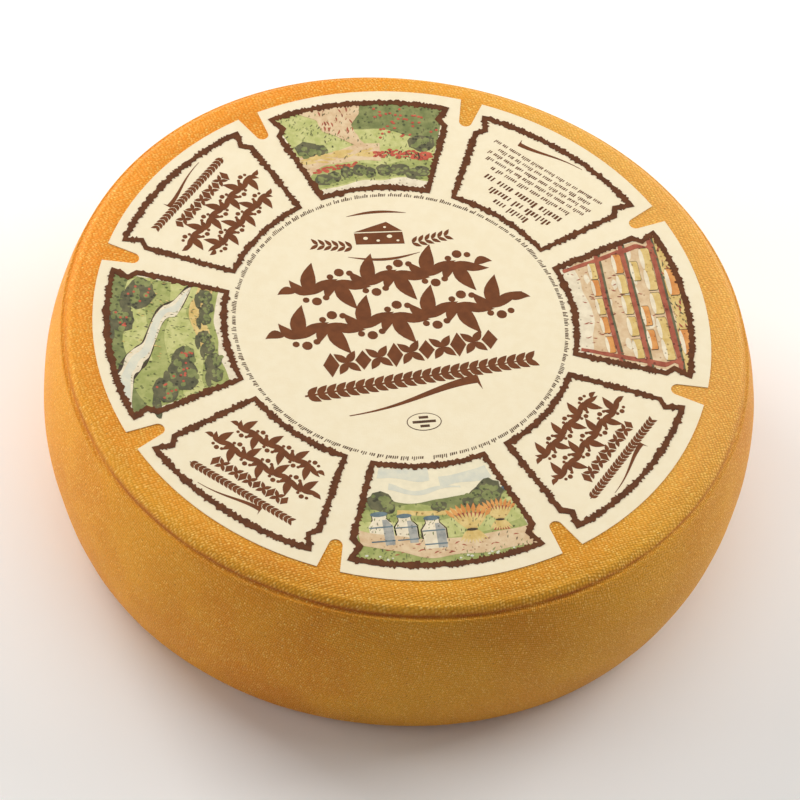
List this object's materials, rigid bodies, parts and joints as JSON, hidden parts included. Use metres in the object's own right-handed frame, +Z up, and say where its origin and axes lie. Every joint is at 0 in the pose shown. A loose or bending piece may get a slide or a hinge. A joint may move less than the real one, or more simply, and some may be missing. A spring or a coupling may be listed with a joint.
{
  "type": "cheese wheel",
  "caption": "Uncut round wheel of pressed semi-soft cheese with a bulged cloth-marked orange rind and a flat notched paper label on top.",
  "frame": {"origin": "on the ground, under the middle of the wheel", "axes": "+Z up through the top face, -Y towards the front, +X towards the right-hand side"},
  "size_m": [0.1926, 0.1926, 0.0578],
  "materials": {
    "rind": "waxy orange rind with a fine cloth imprint",
    "label_paper": "matt cream paper"
  },
  "bodies": {
    "root": {"cheese_wheel": "rind", "paper_label": "label_paper"}
  },
  "joints": []
}
